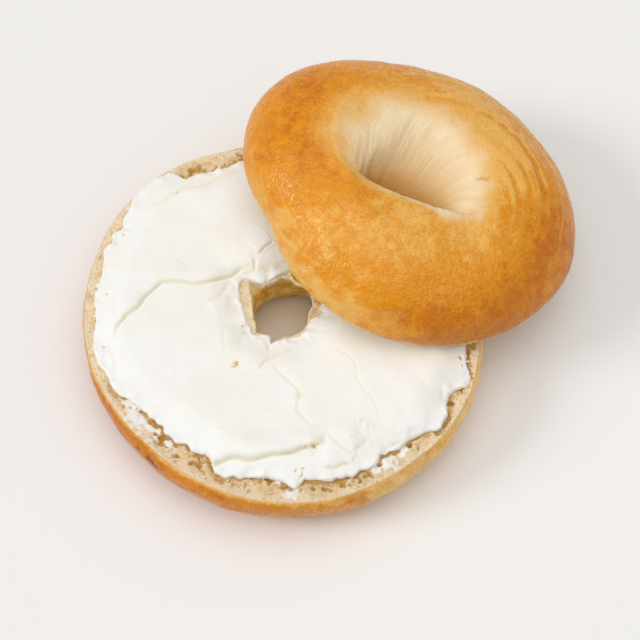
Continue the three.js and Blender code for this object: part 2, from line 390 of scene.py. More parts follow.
lowerBread = {
    "radius": 52.0,
    "waves": [(2, 0.017, -58), (3, 0.014, 51), (4, 0.011, -37), (5, 0.013, -18)],
    # small corrections to the outline and to the belly, millimetres every 15 degrees
    "edgeTrim": [-0.1, 0, 0, 0, 0, 0, 0, 0.1, 0.2, 0.4, 0.4, 0.45, 0.45, 0.35, 0.25, 0.42, 0.62, 0.32, 0,
                 0.22, 0, -0.12, -0.4, -0.78],
    "bellyTrim": [0, 0, 0, 0, 0, 0, 0, -0.2, -0.4, -0.6, -0.7, -0.8, -0.9, -0.55, 0.2, 0.5, 0.8, 0.42, 0,
                  0.25, 0, -0.05, -0.1, -0.2],
    "cutHeight": 16.5,
    "belly": 1.0,
    "bellyHeight": 12.0,
    "footRound": 12.0,
    "fullness": 2.2,  # of the rounding at the foot and in the hole
    "rimRadii": [  # the torn rim of the hole, azimuth in degrees and radius
        (0, 6.3), (12, 6.8), (24, 7.4), (45, 8.2), (60, 8.6), (75, 8.9), (88, 9.2), (99, 9.4), (109, 9.0),
        (122, 8.8), (131, 9.7), (136, 11.2), (140, 12.6), (146, 11.6), (155, 10.2), (163, 9.3), (175, 8.6),
        (186, 8.3), (206, 8.5), (215, 9.3), (222, 10.2), (228, 9.3), (234, 8.8), (242, 8.3), (247, 9.0),
        (250, 10.4), (253, 9.6), (257, 9.0), (266, 7.9), (279, 7.7), (295, 7.7), (309, 7.5), (318, 7.0),
        (328, 6.5), (345, 6.2)],
    "neckRadii": [7.7, 8.5, 10.8, 9.7, 9.6, 9.0, 8.3, 8.4, 8.2, 7.9, 7.2, 6.8],  # every 30 degrees
    "rimDepth": 5.0,  # how far down the wall the rim's shape reaches
    "holeFlare": 6.5,
    "holeFlareHeight": 10.0,
    "turns": 900,
    "outerFine": 8.0,  # width of the fine ring of mesh next to the crust
    "innerFine": 5.5,  # and of the one round the hole
    "edgeIn": 0.15,  # how far the crust's upper edge is drawn in
    "edgeDown": 0.1,  # and down
    "pores": 160,
    "poreBand": (-7.5, -0.9),  # where they lie, counted outwards from the cut edge
    "holePores": 17,
    "holePoreBand": (0.3, 4.0),  # the same from the hole's edge
    "largePores": [  # (x, y, radius, depth)
        (-26.5, 42.5, 1.4, 1.4), (-18, 42, 0.8, 0.8), (-29, 40.5, 0.8, 0.8), (-33, -30, 1.0, 1.2),
        (-30, -36.5, 1.3, 1.3), (-26, -41, 0.8, 1.0), (-21.5, -43.0, 1.1, 1.2), (-8.5, -47.8, 1.0, 1.2),
        (1.5, -48.5, 0.8, 1.0), (8, -49, 0.8, 1.0), (12, -49.5, 0.7, 0.8), (20.5, -45.6, 0.9, 1.1),
        (24, -42.5, 0.8, 0.9), (31.5, -37.0, 1.0, 1.2), (38.5, -34.0, 0.8, 0.9), (42.0, -25.4, 1.0, 1.2)],
    "smears": [  # cheese wiped thinly on the crumb, (x, y, reach)
        (-37.5, -28.5, 3.4), (-34.5, -31.5, 4.0), (-31, -34.5, 3.6), (-28, -37, 2.4), (3, -50, 2.2),
        (0.5, -47.5, 1.6), (22, -43.5, 2.8), (26, -41, 3.0), (29, -38.5, 2.6),
        (-46, -13, 2.0), (-47.5, 6, 2.2), (-46.5, 15, 2.0), (-40, 30, 2.2)],
    "scorches": [  # (azimuth in degrees, height, reach)
        (-129.4, 13.4, 1.0), (-128.0, 13.2, 1.2), (-126.4, 12.8, 1.0), (-133.4, 13.6, 0.8)],
    # shares round the bread, each (azimuth in degrees, share)
    "tornSide": [(-160, -0.2), (-145, 0.2), (-110, 0.15), (-80, 0.1), (-25, 0.05), (0, -0.1), (100, -0.1),
                 (120, 0.2), (150, -0.3)],
    "roughSide": [(-180, 0.3), (-160, 0.4), (-140, 1), (90, 1), (120, 0.8), (150, 0.35)],
    # the paler side of the crust, partly its own tone and partly painted light on the side away from the key
    # light
    "paleLitSide": [(-150, 0), (-120, 0.1), (-90, 0.45), (-60, 0.85), (-30, 1), (0, 0.9), (30, 0.5), (70, 0.2),
                 (120, 0.1), (170, 0.1)],
    "paleCrumb": [(-180, 0.35), (-150, 0.25), (-125, 0.9), (-100, 0.9), (-75, 0.8), (-50, 0.7), (-25, 0.3),
                  (60, 0.3), (110, 0.35), (150, 0.2)],
    # uneven surfaces, each layer (height, size, seed)
    "crustLumps": [(0.35, 11.0, 21), (0.10, 3.6, 22), (0.03, 1.2, 23)],
    "crumbLumps": [(0.25, 4.0, 11), (0.125, 2.0, 12), (0.0625, 1.0, 13), (0.10, 1.1, 15)],
    "rimLumps": [(0.3, 2.3, 33), (0.2, 0.8, 34)],
    "poreLumps": [(0.45, 1.1, 12), (0.4, 2.4, 13)],
    "openLumps": [(1.0, 2.3, 16), (0.6, 1.1, 17), (0.5, 7.0, 18)],
    "tornLumps": [(0.7, 1.6, 19), (0.5, 0.8, 20), (1.0, 5.0, 24)],
    "smearLumps": [(0.5, 1.0, 43), (0.5, 3.0, 44)],
    "edgeLumps": [(0.5, 1.3, 41), (0.5, 3.5, 42)],
    "finish": {
        "light": screenColour(255, 208, 124),
        "middle": screenColour(220, 138, 12),
        "deep": screenColour(196, 108, 0),
        "nearCut": screenColour(236, 188, 108),
        "crumbLight": screenColour(246, 225, 190),
        "crumbDeep": screenColour(220, 180, 124),
        "crumbPale": screenColour(235, 212, 178),
        "byCrust": screenColour(236, 212, 180),
        # painted shade in the pores and torn places of the crumb
        "pore": screenColour(192, 144, 68),
        "finePore": screenColour(208, 170, 108),
        # painted light on the crumb ledge round the hole
        "ledge": screenColour(255, 240, 206),
        "skin": screenColour(255, 222, 122),
        "skinDeep": screenColour(226, 172, 62),
        "cheese": screenColour(246, 243, 234),
        "scorch": screenColour(122, 62, 20),
        "browning": 0.82,
        "paler": 0.74,  # how much less browning the pale side has; partly its own tone, partly painted light making up for the weak light on that side
        "contrast": 0.65,
        "cloudSize": 12.0,
        "crumbRougher": 0.4,
        "bump": 0.4,
        "gloss": 0.2,
    },
}


def plainEdge(angles):
    return wavyRadius(angles, lowerBread["radius"], lowerBread["waves"])


def lowerEdge(angles):
    return plainEdge(angles) + roundTable(lowerBread["edgeTrim"], angles)


def holeEdge(angles):
    return roundRun(lowerBread["rimRadii"], angles)


def cheeseEdge(angles):
    # the ragged outer edge of the cheese
    ring = np.stack([50 * np.cos(angles), 50 * np.sin(angles), 0 * angles], axis=-1)
    margin = roundRun(spread["outerMargins"], angles)
    edge = plainEdge(angles) - margin + lumpSum(ring, spread["outerLumps"])
    return np.minimum(edge, lowerEdge(angles) + 0.3)


def lowerAxis():
    # where the lower half's axis stands in the frame, from the middle of its outline
    angles = np.linspace(0, fullTurn, 720, endpoint=False)
    radii = plainEdge(angles) + lowerBread["belly"]
    outline = np.stack([radii * np.cos(angles), radii * np.sin(angles)])
    low, high = [np.array(corner)[:2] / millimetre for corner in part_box("bottom_half")]
    middle = (low + high - outline.min(axis=1) - outline.max(axis=1)) / 2
    return np.array([middle[0], middle[1], 0])


axisPlace = lowerAxis()


def scatterPores(rng, count, edge, band):
    # small random pores in a band along an edge of the cut face, more of them small than large
    azimuths = rng.uniform(0, fullTurn, count)
    radii = edge(azimuths) + rng.uniform(*band, count)
    sizes = 0.4 + 0.7 * rng.uniform(0, 1, count) ** 2.5
    return np.stack([radii * np.cos(azimuths), radii * np.sin(azimuths), sizes, 0.6 * sizes], axis=1)


def poreDepth(x, y, pores, ragged):
    # pores of irregular outline: ragged moves each one's edge in and out
    depth = np.zeros(x.shape)
    for px, py, size, deep in pores:
        near = (np.abs(x - px) < 1.5 * size) & (np.abs(y - py) < 1.5 * size)
        share = np.hypot(x[near] - px, y[near] - py) / size + ragged[near]
        depth[near] = np.maximum(depth[near], deep * smooth(1.3 * (1 - share)))
    return depth


def spotMask(x, y, spots, edge):
    # soft round spots with a ragged edge, each (x, y, reach)
    total = np.zeros(x.shape)
    for px, py, reach in spots:
        share = np.hypot(x - px, y - py) / reach + edge
        total = np.maximum(total, smooth(1.8 * (1 - share)))
    return total


def lowerShape(angles, edge, hole):
    # the smooth lower half, and where the wall ends and the crust and the cut face start in each loop
    v = lowerBread
    cut = v["cutHeight"]
    # hole wall: straight down from the rim, then flaring out to the base
    straight = np.linspace(cut, v["holeFlareHeight"], 12)[None, :-1]
    across, up = quarterRound(v["fullness"], np.linspace(1, 0, 11))
    neck = roundTable(v["neckRadii"], angles)[:, None]
    rimShare = smooth((straight - cut + v["rimDepth"]) / v["rimDepth"])
    wallRadii = np.hstack([neck + (hole - neck) * rimShare, neck + v["holeFlare"] * (1 - up)])
    wallHeights = np.hstack([straight, v["holeFlareHeight"] * (1 - across)[None]])
    # base, then the crust up to the cut edge
    belly = v["belly"] + roundTable(v["bellyTrim"], angles)[:, None]
    foot = edge + belly - v["footRound"]
    inner = neck + v["holeFlare"]
    baseRadii = inner + (foot - inner) * np.linspace(0, 1, 7)[None, 1:-1]
    across, up = quarterRound(v["fullness"], np.linspace(1, 0, 20))
    crustRadii = foot + v["footRound"] * across
    rise = np.linspace(0, 1, 9)[1:]
    shoulderRadii = edge + belly * (1 - rise ** 2) - v["edgeIn"] * (rise == 1)
    shoulderHeights = v["bellyHeight"] + (cut - v["bellyHeight"]) * rise - v["edgeDown"] * (rise == 1)
    # cut face: a fine ring next to the crust, a coarse one under the cheese, a fine one at the hole
    outerRadii = edge - (0.35 + v["outerFine"] * np.linspace(0, 1, 27))
    innerRadii = hole + (v["innerFine"] * np.linspace(1, 0, 16)[:-1] + 0.25)
    covered = np.linspace(0, 1, 9)[1:-1]
    coveredRadii = outerRadii[:, -1:] + (innerRadii[:, :1] - outerRadii[:, -1:]) * covered
    radii = np.hstack([wallRadii, baseRadii, crustRadii, shoulderRadii,
                       outerRadii, coveredRadii, innerRadii])
    crustStart = wallRadii.shape[1] + baseRadii.shape[1]
    cutStart = crustStart + crustRadii.shape[1] + shoulderRadii.shape[1]
    heights = np.hstack([wallHeights, np.zeros((1, baseRadii.shape[1])), v["bellyHeight"] * (1 - up)[None],
                         shoulderHeights[None], np.full((1, radii.shape[1] - cutStart), cut)])
    return loopAt(angles, radii, heights), wallRadii.shape[1], crustStart, cutStart


def crumbHollows(angles, rows, radius, fromCrust, rough):
    # depth of the pores and torn places of the cut face, and how open its crumb looks
    v = lowerBread
    rng = np.random.default_rng(7)
    outerPores = scatterPores(rng, v["pores"], lowerEdge, v["poreBand"])
    innerPores = scatterPores(rng, v["holePores"], holeEdge, v["holePoreBand"])
    innerPores[:, 2:] *= 0.6  # smaller ones round the hole
    allPores = np.vstack([outerPores, innerPores, v["largePores"]])
    pores = poreDepth(rows[..., 0], rows[..., 1], allPores, lumpSum(rows, v["poreLumps"]))
    # uneven open pores, more of them away from the crust and the hole
    openSpots = smooth((lumpSum(rows, v["openLumps"]) - 0.42) / 0.45)
    openSpots *= smooth((fromCrust - 0.9) / 2.2) * smooth((radius - 14) / 4)
    # torn crumb along the edge of the cheese, sunk, and painted darker through its depth as shade
    fromCheese = radius - cheeseEdge(angles)[:, None]
    alongCheese = smooth((fromCheese + 0.6) / 0.6) * smooth(1 - fromCheese / 1.9)
    torn = lumpSum(rows, v["tornLumps"], 0.35) + roundRun(v["tornSide"], angles)[:, None]
    torn = smooth(1.4 * alongCheese * torn - 0.25)
    # a thin, broken line of shade right at the edge of the cheese
    gap = smooth((fromCheese + 0.3) / 0.3) * smooth(1 - fromCheese / 0.7)
    gap *= smooth(0.45 + 1.3 * lumps(rows, 2.4, 25))
    depth = np.maximum(np.maximum(pores, 0.8 * openSpots), np.maximum(0.55 * torn, 0.5 * gap))
    openness = np.maximum(smooth(1 - np.abs(fromCheese) / 3.0), 0.15 + 0.5 * lumps(rows, 5.0, 26))
    return rough * depth, rough * openness


def buildLowerBread():
    v = lowerBread
    cut = v["cutHeight"]
    angles = np.linspace(0, fullTurn, v["turns"], endpoint=False)
    edge = lowerEdge(angles)[:, None]
    hole = holeEdge(angles)[:, None]
    rows, wallCount, crustStart, cutStart = lowerShape(angles, edge, hole)
    onWall = loopPart(rows, 0, wallCount)
    onCrust = loopPart(rows, crustStart, cutStart)
    onCut = loopPart(rows, cutStart, rows.shape[1])

    def roundBread(name):
        return roundRun(v[name], angles)[:, None] * np.ones(rows.shape[:2])

    x, y, z = np.moveaxis(rows, -1, 0)
    radius = np.hypot(x, y)
    normal = outward(rows)
    fromCrust = edge - radius
    rough = onCut * roundBread("roughSide")
    depth, openness = crumbHollows(angles, rows, radius, fromCrust, rough)
    # the crust is slightly uneven, the hole's skin wrinkled, the torn rim ragged
    crumbRelief = lumpSum(rows, v["crumbLumps"]) * smooth(fromCrust / 1.5)
    crustRelief = lumpSum(rows, v["crustLumps"])
    wallRelief = 0.25 * lumps(rows, 4.5, 31) + 0.12 * lumps(rows * [1, 1, 2.2], 1.6, 32)
    aboveBase = smooth(z / 3)
    atRim = onWall * smooth((z - cut + 2.2) / 2.2)
    relief = (onCut * (crumbRelief - depth) + onCrust * crustRelief * aboveBase
              + onWall * wallRelief * aboveBase * (1 - atRim))
    innermost = smooth(1 - (radius - hole) / 1.6)
    sideways = np.maximum(atRim, onCut * innermost) * lumpSum(rows * [1, 1, 0], v["rimLumps"])
    rows = rows + normal * relief[..., None]
    rows[..., 0] += sideways * np.cos(angles)[:, None]
    rows[..., 1] += sideways * np.sin(angles)[:, None]
    rows[..., 2] = np.maximum(rows[..., 2], 0)
    # where each look shows
    ragged = lumpSum(rows, v["edgeLumps"])
    along = v["radius"] * (np.mod(angles[:, None], fullTurn) - fullTurn) + 0 * x
    scorches = [(v["radius"] * math.radians(azimuth), height, reach)
                for azimuth, height, reach in v["scorches"]]
    smeared = spotMask(x, y, v["smears"], lumpSum(rows, v["smearLumps"])) * (1 - smooth(depth / 0.5))
    # the top of the hole's wall and the cut face beside the hole on the left are painted lighter: painted
    # light on the crumb ledge, which lies under the cheese's edge
    paleLedge = 0.9 * onCut * bump(angles, 190, 60)[:, None] * smooth((15 - radius) / 3)
    masks = {
        "byCrust": onCut * smooth(1 - fromCrust / 3.0 + 0.4 * ragged),
        "crumb": np.maximum(onCut, onWall * smooth((z - cut + 2.0 + 1.1 * ragged) / 0.4)),
        "ledge": np.maximum(onWall, paleLedge),
        # the pores, torn places and the gap are painted darker the deeper they sink: painted shade
        "hollowShade": smooth(depth / 0.7),
        "open": np.clip(openness, 0, 1),
        "smear": onCut * smeared,
        "scorch": onCrust * spotMask(along, z, scorches, 0.35 * ragged),
        "skin": onWall,
        "nearCut": onCrust * smooth((z - 15.8 + 0.4 * ragged) / 0.6),
        "paleLitSide": roundBread("paleLitSide"),
        "paleCrumb": roundBread("paleCrumb"),
    }
    piece = ringMesh("lower_bread", rows + axisPlace, masks)
    piece.data.materials.append(lowerBreadMaterial())
    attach(piece, "root")
    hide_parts("bottom_half")
    print("lower half built,", v["turns"], "turns")


def lowerBreadMaterial():
    c = lowerBread["finish"]
    material, tree, shader = newMaterial("lowerBreadFinish")
    browning = combine(tree, "SUBTRACT", c["browning"], mask(tree, "paleLitSide", c["paler"]))
    crust = crustNodes(tree, c, browning)
    skinPatches = ranged(tree, noise(tree, placeOn(tree), 3.0, detail=4.0, roughness=0.6), 0.38, 0.6)
    outside = layered(tree, crust["Color"], [
        ("nearCut", 1.0, c["nearCut"]), ("scorch", 1.0, c["scorch"]),
        ("skin", 1.0, mixColour(tree, skinPatches, c["skinDeep"], c["skin"]))])
    crumb = useGroup(tree, openCrumb, {
        "Light": layered(tree, c["crumbLight"], [("paleCrumb", 1.0, c["crumbPale"])]),
        "Deep": layered(tree, c["crumbDeep"], [("byCrust", 1.0, c["byCrust"])]),
        "Pore": c["finePore"], "Pore Size": 0.9, "Open": mask(tree, "open")})
    inside = layered(tree, crumb["Color"], [
        ("hollowShade", 1.0, c["pore"]), ("smear", 1.0, c["cheese"]), ("ledge", 0.6, c["ledge"])])
    bumped(tree, dressBread(tree, shader, c, crust, crumb, outside, inside), c["bump"], shader)
    return material


spread = {
    "floor": 16.25,
    "edgeThickness": 1.1,
    "thickness": 2.8,
    "riseWidth": 9.0,  # from the edge to full thickness
    "innerRadii": [  # azimuth in degrees and radius
        (-10, 8.9), (-4, 10.0), (3, 8.4), (12, 9.6), (30, 9.2), (45, 9.2), (60, 9.8), (75, 11.0),
        (83, 11.2), (91, 10.6), (101, 9.9), (109, 9.5), (120, 9.5), (127, 9.6), (133, 9.9), (136, 11.2),
        (139, 13.2), (143, 14.0), (150, 14.1),
        (161, 12.5), (174, 11.2), (194, 10.4), (212, 10.3), (219, 10.9), (224, 10.9), (230, 9.8),
        (238, 8.7), (245, 8.8), (248, 10.0), (251, 10.6), (255, 9.3), (266, 8.3), (280, 8.1), (297, 8.3),
        (310, 7.9), (324, 7.1), (335, 7.0), (345, 8.0)],
    "outerMargins": [  # azimuth in degrees and distance inside the cut edge
        (-179, 2.5), (-173, 2.5), (-170, 1.6), (-165, 1.2), (-161, 1.0), (-158, 2.4), (-152, 2.3),
        (-149, 2.9), (-146, 3.7), (-143, 4.6), (-139, 5.2), (-134, 5.6), (-130, 5.0), (-125, 4.4),
        (-122, 5.8), (-119, 5.2), (-115, 5.9), (-112, 5.2), (-110, 3.2), (-107, 2.8), (-104, 4.0),
        (-101, 4.9), (-98, 5.2), (-92, 5.7), (-89, 4.9), (-86, 3.3), (-83, 6.2), (-80, 5.5), (-77, 4.4),
        (-74, 4.6), (-68, 3.8), (-65, 4.5), (-62, 4.1), (-59, 5.7), (-56, 5.6), (-53, 4.6), (-50, 4.8),
        (-47, 4.8), (-44, 4.2), (-41, 2.2), (-35, 2.8), (-32.5, 4.8), (-29, 4.7), (-26.5, 3.8),
        (-24.5, 2.0), (-20, 2.3), (-17, 4.0), (-12, 4.6), (0, 4), (30, 3.8), (60, 3.8), (100, 3.8),
        (106, 4.2), (113, 5.5), (117, 5.4), (126, 4.7), (128, 1.0), (134, -0.3), (141, -0.3),
        (146, 1.6), (149, 1.7), (152, 3.2), (155, 1.2), (158, 2.1), (161, 1.1), (166, 2.0), (171, 2.7),
        (176, 2.0)],
    "pits": [  # small holes, (x, y, radius, depth)
        (8.0, -38.8, 0.65, 0.8), (8.9, -38.4, 0.45, 0.5), (7.2, -38.7, 0.35, 0.4), (5.8, -39.0, 0.45, 0.5),
        (44.5, -13.5, 0.7, 0.9), (47.0, -13.5, 0.6, 0.8), (45.0, -15.5, 0.5, 0.7), (47.5, -15.5, 0.5, 0.6),
        (-46.0, -12.0, 0.5, 0.5), (3.5, -45.0, 0.5, 0.6), (5.0, -46.0, 0.4, 0.6),
        (-43.5, 21.0, 0.5, 0.5)],
    "shadeSmudges": [(4.2, -25.2, 1.8), (7.5, -38.8, 1.8), (9.6, -38.0, 1.6), (4.5, -39.8, 1.4), (-10.2, 11.0, 2.0),
               (-2.1, 11.8, 2.2), (-6.0, 11.6, 1.6)],  # yellowish shade painted beside the knife marks, (x, y, reach)
    "turns": 640,
    "outerFine": 6.5,  # width of the fine ring of mesh at the outer edge
    "innerFine": 5.5,  # and of the one round the hole
    "underInset": 0.5,  # how far inside the edges the underside ends
    "calmTurns": 23,  # how many turns the slope at the edges is evened out over
    "upperGap": 0.3,  # clearance under the upper half
    "stepReach": 8.0,  # how far from a knife mark its step fades
    "shadeReach": 3.5,  # and its painted line of shade
    # uneven edges and surfaces, each layer (height, size, seed)
    "outerLumps": [(0.2, 6.0, 51), (0.4, 2.4, 52), (0.22, 1.2, 53)],
    "innerLumps": [(0.25, 3.0, 54), (0.2, 1.4, 55)],
    "edgeLumps": [(0.5, 3.0, 61), (0.15, 1.3, 62)],
    "swellLumps": [(0.22, 13.0, 63), (0.14, 6.0, 64), (0.03, 2.2, 65)],
    "outerRagged": [(0.05, 1.3, 68), (0.25, 3.5, 69)],
    "holeRagged": [(0.18, 3.2, 45), (0.12, 1.5, 46)],
    "shadeSmudgeLumps": [(0.4, 2.0, 48), (0.3, 0.9, 49)],
    "wanderAcross": [(0.35, 4.5, 57), (0.07, 1.4, 58)],
    "wanderAlong": [(0.35, 4.5, 59), (0.07, 1.4, 60)],
    "finish": {
        "colour": screenColour(249, 247, 242),
        "warm": screenColour(247, 244, 236),
        # painted shade along the creases of the knife marks
        "creaseShade": screenColour(238, 228, 198),
        "pit": screenColour(222, 190, 130),
        "softness": 0.2,
        "softReach": (1.0, 0.8, 0.55),
        "softScale": 0.002,
        "gloss": 0.35,
        "bump": 0.02,
    },
}

# marks of the knife: [points, step, groove, groove width, lip], heights in millimetres, the cheese on
# the left of the direction higher by the step
knifeMarks = [
    [[(-43, -11.5), (-43, -8), (-41, -4.5), (-38, -1), (-33.5, 4.5), (-31, 6.5), (-23, 6), (-19, 7),
      (-15, 8.5), (-11.5, 11), (-9, 11)], 0.9, 0.3, 0.5, 0.12],
    [[(-32.5, 3), (-28, 4.5), (-23, 4.5), (-20.5, 4)], 0.12, 0.08, 0.5, 0.0],
    [[(-15, 7.5), (-16.5, 3.5), (-19, 2), (-21, 0.5)], 0.35, 0.15, 0.6, 0.1],
    [[(-16, -6), (-15.5, -10), (-15, -15)], 0.2, 0.1, 0.7, 0.0],
    [[(-8, 15), (-5.5, 17.5), (-3.5, 19)], 0.3, 0.6, 0.35, 0.2],
    [[(-8.5, 14), (-8.5, 10)], 0.2, 0.3, 0.5, 0.1],
    [[(-39, 28), (-34.5, 30.5), (-31, 32.5), (-28, 35), (-23, 36.5), (-18.5, 39), (-15.5, 41), (-13, 43.5)],
     0.5, 0.12, 0.8, 0.1],
    [[(-39, 28.5), (-37.5, 32), (-35.5, 34.5), (-33, 35.5), (-30.5, 36.5)], 0.2, 0.08, 0.7, 0.0],
    [[(-44.5, 21.5), (-43, 22.5), (-41, 22.5)], 0.1, 0.3, 0.4, 0.1],
    [[(-21, 21.5), (-19, 17), (-16.5, 12.5)], 0.12, 0.0, 0.6, 0.0],
    [[(-29.5, 14), (-27, 12), (-24.5, 10.5)], 0.15, 0.05, 0.6, 0.0],
    [[(-32.5, -6.5), (-32, -12.5)], 0.08, 0.0, 0.6, 0.0],
    [[(-16, -36), (-10.5, -39.5)], 0.12, 0.0, 0.6, 0.0],
    [[(-44.5, 4), (-44, 0), (-43.5, -5)], 0.2, 0.1, 0.6, 0.1],
    [[(-45.5, -11), (-43.5, -15), (-42.5, -19.5)], 0.2, 0.1, 0.6, 0.1],
    [[(-6.5, -19), (-5, -16.5), (-2, -14), (4, -10.5)], 0.35, 0.15, 0.5, 0.05],
    [[(-2.5, -16), (-2, -18), (1, -21), (4, -24.5), (3.5, -29), (5.5, -31.5), (9.5, -34.5)],
     0.3, 0.2, 0.6, 0.0],
    [[(-21.5, -40.5), (-18.1, -43.2), (-14.8, -42.9), (-11.9, -42.0), (-6, -42.3), (0.8, -41.0),
      (5.2, -39.6), (8.1, -39.0), (9.5, -39.4)], 1.4, 0.6, 0.5, 0.12],
    [[(-16.5, -34.5), (-14, -33.5)], 0.1, 0.2, 0.4, 0.1],
    [[(10, -44), (13, -44), (15.5, -43), (17.5, -43.5)], 0.5, 0.4, 0.45, 0.1],
    [[(11, -10), (13, -12), (16, -13.5), (18, -16.5), (18.5, -20), (20, -23), (22, -25.5), (23.5, -29),
      (23.5, -32), (21.5, -35), (21, -36.5)], 0.15, 0.07, 0.6, 0.0],
    [[(37, -17), (36, -20), (34, -24.5), (31, -28.5), (28, -32.5), (26.5, -35)], 0.15, 0.03, 0.8, 0.0],
    [[(11, -35), (13.5, -37.5), (16, -39.5), (17.5, -40.5)], 0.22, 0.16, 0.5, 0.1],
    [[(13, -35.2), (15, -37), (17, -38.8)], 0.1, 0.12, 0.35, 0.05],
    [[(16, -36.5), (19, -36)], 0.2, 0.25, 0.4, 0.1],
    [[(20.5, -31), (19, -32.5)], 0.2, 0.25, 0.4, 0.1],
    [[(21.5, -32.5), (21, -34.5)], 0.2, 0.3, 0.4, 0.1],
    [[(17, -40), (20, -38), (21, -36.5)], 0.2, 0.2, 0.5, 0.1],
    [[(25.5, -39), (29.5, -36.5), (33, -35), (36.5, -35)], 0.45, 0.3, 0.5, 0.2],
    [[(40, -20.5), (39.5, -25.5)], 0.1, 0.08, 0.5, 0.0],
]


def upperCutHeight(x):
    # height of the upper half's cut face over a point
    v = upperBread
    return v["place"][2] - math.tan(math.radians(v["tilt"])) * (x - v["place"][0])


def knifeRelief(x, y):
    # height and painted crease shade that the knife marks leave: each has a rolled-over high side on its left
    v = spread
    relief = np.zeros(x.shape)
    creaseShade = np.zeros(x.shape)
    flat = np.stack([x, y, 0 * x], axis=-1)
    wanderX = x + lumpSum(flat, v["wanderAcross"])
    wanderY = y + lumpSum(flat, v["wanderAlong"])
    for points, step, groove, width, lip in knifeMarks:
        near, away, share = nearLine(wanderX, wanderY, points, v["stepReach"])
        rolled = 1 - np.exp(-np.maximum(away, 0) / (2.2 * width))
        shape = step * rolled * (1 - smooth(np.abs(away) / v["stepReach"]))
        shape -= groove * np.exp(-(away / (0.7 * width)) ** 2)
        shape += lip * np.exp(-((away + 1.8 * width) / width) ** 2)
        relief[near] += shape * tapered(share)
        near, away, share = nearLine(wanderX, wanderY, points, v["shadeReach"])
        soft = 0.35 * np.exp(-np.maximum(away, 0) / (2.0 * width)) * (away > 0)
        shade = (np.exp(-(away / (0.75 * width)) ** 2) + soft) * tapered(share)
        creaseShade[near] = np.maximum(creaseShade[near], min(1.2 * groove + 0.5 * step, 0.9) * shade)
    return relief, np.clip(creaseShade, 0, 1)


def buildCheese():
    v = spread
    angles = np.linspace(0, fullTurn, v["turns"], endpoint=False)
    ring = np.stack([10 * np.cos(angles), 10 * np.sin(angles), 0 * angles], axis=-1)
    outer = cheeseEdge(angles)
    inner = roundRun(v["innerRadii"], angles) + lumpSum(ring, v["innerLumps"])
    # the edges without their small notches, which the slope of the cheese follows
    calm = np.ones(v["calmTurns"]) / v["calmTurns"]
    outerCalm, innerCalm = [np.convolve(np.pad(run, v["calmTurns"] // 2, "wrap"), calm, "valid")[:, None]
                            for run in (outer, inner)]
    outer = outer[:, None]
    inner = inner[:, None]
    # distances in from the outer edge and out from the inner edge, fine at both
    outerRadii = outer - v["outerFine"] * np.linspace(0, 1, 26) ** 1.25
    innerRadii = inner + v["innerFine"] * np.linspace(1, 0, 22) ** 1.25
    middle = np.linspace(0, 1, 102)[1:-1]
    middleRadii = outerRadii[:, -1:] + (innerRadii[:, :1] - outerRadii[:, -1:]) * middle
    radii = np.hstack([outerRadii, middleRadii, innerRadii])
    fromInner = radii - inner
    fromEdge = np.minimum(outer - radii, fromInner)
    rows = loopAt(angles, radii, np.full((1, radii.shape[1]), v["floor"]))
    x, y = rows[..., 0], rows[..., 1]
    flat = rows * [1, 1, 0]
    relief, creaseShade = knifeRelief(x, y)
    edgeRound = np.sqrt(1 - (1 - np.clip(fromEdge / 0.8, 0, 1)) ** 2)
    atEdge = 1 - smooth(fromEdge / 4)
    atHole = 1 - smooth(fromInner / 8)
    edgeHigh = v["edgeThickness"] * (1 + atEdge * lumpSum(flat, v["edgeLumps"]))
    inside = smooth(np.minimum(outerCalm - radii, radii - innerCalm) / v["riseWidth"])
    thick = edgeHigh + (v["thickness"] - v["edgeThickness"]) * inside
    # slow swells, and streaks drawn out along the way the knife went round
    swell = lumpSum(flat, v["swellLumps"]) * smooth(fromEdge / 3)
    swept = np.stack([radii * 0.9, (angles[:, None] * radii) / 9, 0 * radii], axis=-1)
    streaks = 0.025 * lumps(swept, 1.2, 66) * np.abs(lumps(flat, 9.0, 67))
    ragged = atEdge * lumpSum(flat, v["outerRagged"]) + atHole * lumpSum(flat, v["holeRagged"])
    pit = poreDepth(x, y, np.array(v["pits"]), 0.3 * lumps(flat, 1.2, 47))
    high = thick + relief * smooth(fromEdge / 1.5) + swell + streaks + ragged
    room = upperCutHeight(x) - v["upperGap"] - v["floor"]
    high = np.minimum(np.maximum(high, 0.35), room)
    rows[..., 2] += edgeRound * np.maximum(high - pit, 0.1)
    # the underside, just inside both edges
    shares = np.linspace(0, 1, 6)
    underRadii = inner + v["underInset"] + (outer - inner - 2 * v["underInset"]) * shares
    underside = loopAt(angles, underRadii, np.full((1, len(shares)), v["floor"]))
    unmarked = np.zeros(underside.shape[:2])
    # yellowish painted shade beside the knife ridges, laid into the crease shade
    smudgeShade = spotMask(x, y, v["shadeSmudges"], lumpSum(flat, v["shadeSmudgeLumps"]))
    masks = {
        "creaseShade": np.hstack([np.maximum(creaseShade, 0.55 * smudgeShade), unmarked]),
        "pit": np.hstack([smooth(pit / 0.5), unmarked]),
    }
    piece = ringMesh("cheese_spread", np.concatenate([rows, underside], axis=1) + axisPlace, masks)
    piece.data.materials.append(cheeseMaterial())
    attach(piece, "root")
    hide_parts("cream_cheese")
    print("cream cheese spread,", len(knifeMarks), "knife marks")
    return piece


